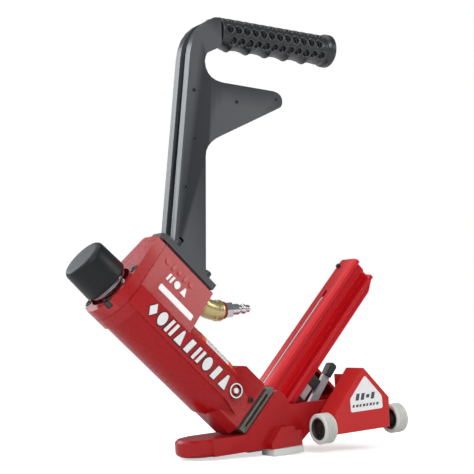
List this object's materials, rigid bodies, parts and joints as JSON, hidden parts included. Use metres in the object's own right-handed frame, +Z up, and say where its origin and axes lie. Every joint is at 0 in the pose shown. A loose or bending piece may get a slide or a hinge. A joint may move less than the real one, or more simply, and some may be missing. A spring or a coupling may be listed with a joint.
{
  "type": "pneumatic flooring nailer",
  "caption": "Inclined air cylinder with a struck rubber cap drives cleats at an angle through a flat shoe; tall D-shaped handle, nail channel and a roller foot.",
  "frame": {"origin": "bottom centre of the bounding box, on the floor the tool stands on", "axes": "+X from the shoe nose to the rear rollers, +Y from the panel side to the far side, +Z up"},
  "size_m": [0.3544, 0.112, 0.4396],
  "materials": {
    "red_paint": "gloss, lightly moulded casting surface",
    "anodised_red": "satin anodised with long extrusion lines",
    "sheet_red": "satin powder coat",
    "black_casting": "satin dark grey",
    "black_rubber": "matte with a soft sheen",
    "black_steel": "blackened",
    "nose_steel": "olive grey phosphate",
    "bright_steel": "bright",
    "brass": "machined",
    "pale_nylon": "pale grey, fine grooves",
    "seal_red": "thin wrapped band",
    "valve_brass": "machined"
  },
  "bodies": {
    "tool": {"main_casting": "red_paint", "head_cover": "red_paint", "cylinder_sleeve": "bright_steel", "bumper": "black_rubber", "neck_gasket": "black_rubber", "nose_guide": "nose_steel", "flange_gasket": "black_rubber", "head_screw_1": "black_steel", "head_screw_2": "black_steel", "head_screw_3": "black_steel", "head_screw_4": "black_steel", "flange_screw_1": "black_steel", "flange_screw_2": "black_steel", "flange_screw_3": "black_steel", "flange_screw_4": "black_steel", "nose_screw_near": "black_steel", "nose_screw_far": "black_steel", "magazine_channel": "anodised_red", "retaining_wire": "bright_steel", "magazine_stop_screw": "black_steel", "base_shoe": "red_paint", "handle_casting": "black_casting", "handle_grip": "black_rubber", "brass_elbow": "brass", "thread_seal": "seal_red", "air_plug": "bright_steel", "lever_pin": "black_steel", "foot_guide": "nose_steel", "foot_clamp_bolt": "black_steel", "sole_pad_near": "pale_nylon", "sole_pad_far": "pale_nylon", "magazine_rest": "bright_steel", "magazine_rest_cap": "black_rubber", "plunger_spring": "bright_steel"},
    "striker": {"strike_cap": "black_rubber", "cap_washer": "bright_steel", "strike_plunger": "bright_steel", "main_valve": "valve_brass"},
    "driver": {"piston": "bright_steel", "piston_ring": "black_rubber", "driver_blade": "nose_steel"},
    "pusher": {"nail_pusher": "bright_steel", "pusher_spring_coil": "bright_steel"},
    "foot": {"foot_bracket": "sheet_red", "roller_axle_near": "bright_steel", "roller_axle_far": "bright_steel", "axle_spacer_near": "black_steel", "axle_spacer_far": "black_steel"},
    "lever": {"lock_lever": "bright_steel", "lever_handle": "black_rubber"},
    "roller_front_near": {"roller_hub_front_near": "black_rubber", "roller_tyre_front_near": "pale_nylon"},
    "roller_front_far": {"roller_hub_front_far": "black_rubber", "roller_tyre_front_far": "pale_nylon"},
    "roller_rear_near": {"roller_hub_rear_near": "black_rubber", "roller_tyre_rear_near": "pale_nylon"},
    "roller_rear_far": {"roller_hub_rear_far": "black_rubber", "roller_tyre_rear_far": "pale_nylon"}
  },
  "joints": [
    {"name": "striker_slide", "type": "slide", "parent": "tool", "child": "striker", "axis": [0.7474, 0, -0.6643], "range_m": [0, 0.006], "stiffness_N_per_m": 1500, "springref_m": -0.004, "deforming": ["plunger_spring"]},
    {"name": "driver_slide", "type": "slide", "parent": "tool", "child": "driver", "axis": [0.7474, 0, -0.6643], "range_m": [0, 0.07]},
    {"name": "pusher_slide", "type": "slide", "parent": "tool", "child": "pusher", "axis": [0.6643, 0, 0.7474], "range_m": [0, 0.095], "stiffness_N_per_m": 40, "springref_m": -0.05},
    {"name": "foot_slide", "type": "slide", "parent": "tool", "child": "foot", "axis": [-0.0588, 0, 0.9983], "range_m": [-0.006, 0.004]},
    {"name": "lever_swing", "type": "hinge", "parent": "tool", "child": "lever", "pos_m": [0.088, 0, 0.03791], "axis": [0, 1, 0], "range_deg": [0, 15]},
    {"name": "roller_front_near_spin", "type": "hinge", "parent": "foot", "child": "roller_front_near", "pos_m": [0.07689, -0.041, 0.02413], "axis": [0.9983, 0, 0.0588], "continuous": true},
    {"name": "roller_front_far_spin", "type": "hinge", "parent": "foot", "child": "roller_front_far", "pos_m": [0.07689, 0.041, 0.02413], "axis": [0.9983, 0, 0.0588], "continuous": true},
    {"name": "roller_rear_near_spin", "type": "hinge", "parent": "foot", "child": "roller_rear_near", "pos_m": [0.16953, -0.041, 0.02959], "axis": [0.9983, 0, 0.0588], "continuous": true},
    {"name": "roller_rear_far_spin", "type": "hinge", "parent": "foot", "child": "roller_rear_far", "pos_m": [0.16953, 0.041, 0.02959], "axis": [0.9983, 0, 0.0588], "continuous": true}
  ]
}
